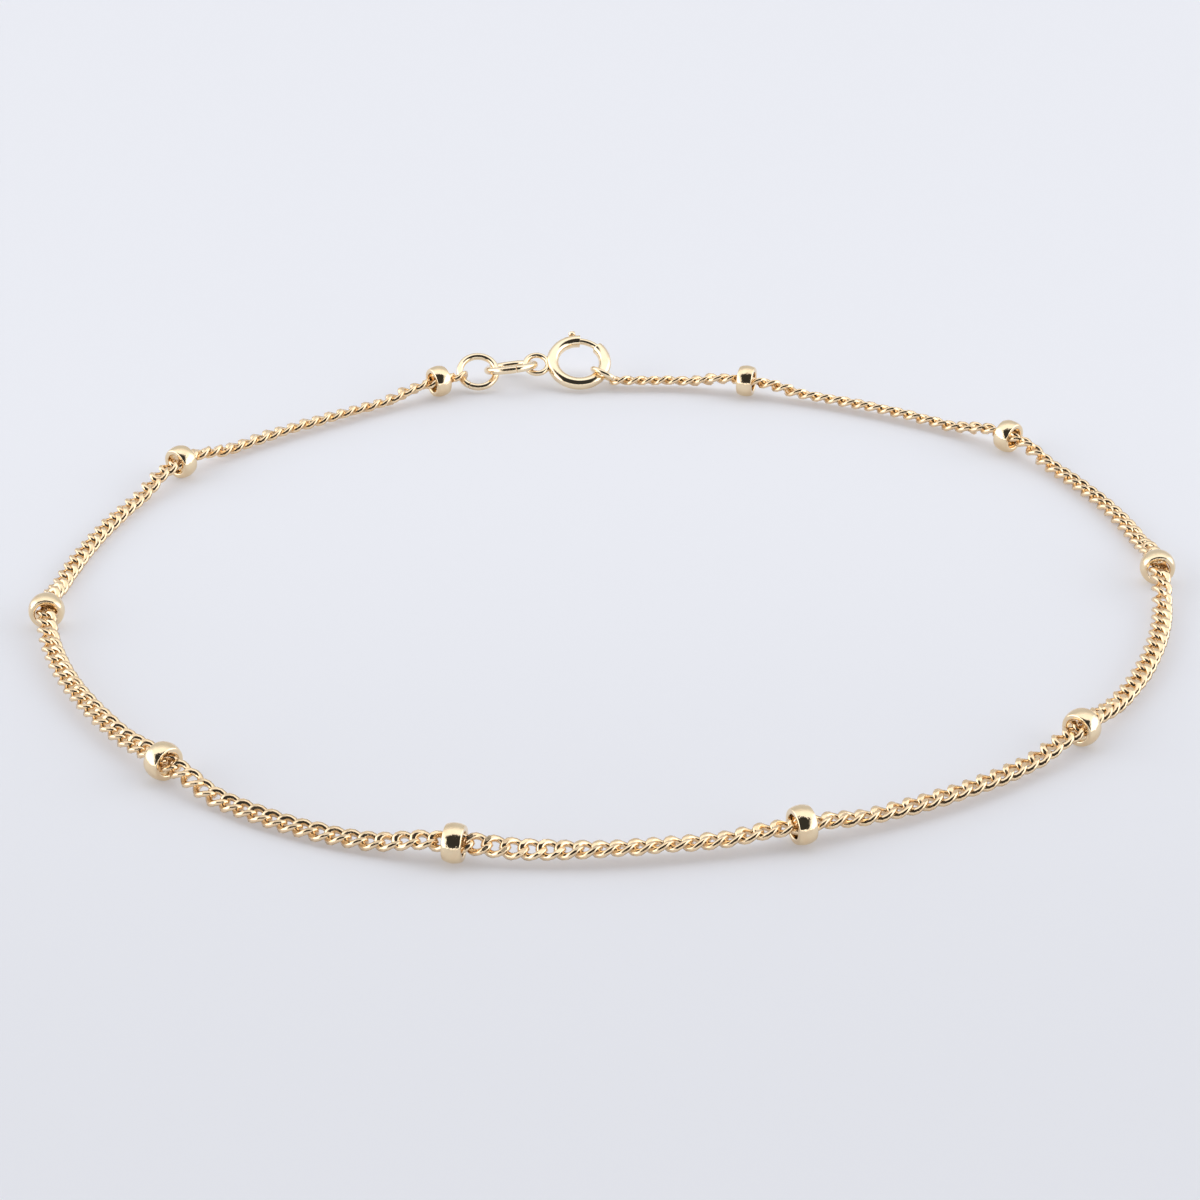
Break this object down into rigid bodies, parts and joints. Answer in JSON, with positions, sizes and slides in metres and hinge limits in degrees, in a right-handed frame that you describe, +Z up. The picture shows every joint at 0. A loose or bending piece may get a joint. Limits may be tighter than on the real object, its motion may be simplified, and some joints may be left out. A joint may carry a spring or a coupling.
{
  "type": "chain anklet",
  "caption": "Fine gold satellite-chain anklet: a curb chain threaded with small rondelle beads, laid as a closed loop and fastened by a spring-ring clasp and jump rings.",
  "frame": {"origin": "centre of the bounding box on the surface that the anklet lies on", "axes": "+Z up from that surface; +X along the loop's longer diameter; +Y towards the clasp at the back of the loop"},
  "size_m": [0.0927, 0.0804, 0.0038],
  "materials": {
    "chain_gold": "bright polished gold, small cut flats on each link",
    "bead_gold": "mirror polished gold",
    "clasp_gold": "polished gold",
    "ring_gold": "polished gold wire"
  },
  "bodies": {
    "loop": {"chain": "chain_gold", "bead_01": "bead_gold", "bead_02": "bead_gold", "bead_03": "bead_gold", "bead_04": "bead_gold", "bead_05": "bead_gold", "bead_06": "bead_gold", "bead_07": "bead_gold", "bead_08": "bead_gold", "bead_09": "bead_gold", "bead_10": "bead_gold", "clasp_ring": "clasp_gold", "catch_ring": "ring_gold", "link_ring": "ring_gold", "end_ring": "ring_gold"},
    "tongue": {"clasp_tongue": "clasp_gold"}
  },
  "joints": [
    {"name": "clasp_latch", "type": "hinge", "parent": "loop", "child": "tongue", "pos_m": [-0.00274, 0.03697, 0.00195], "axis": [0.0499, -0.459, 0.887], "range_deg": [0, 48], "stiffness_Nm_per_rad": 0.001}
  ]
}
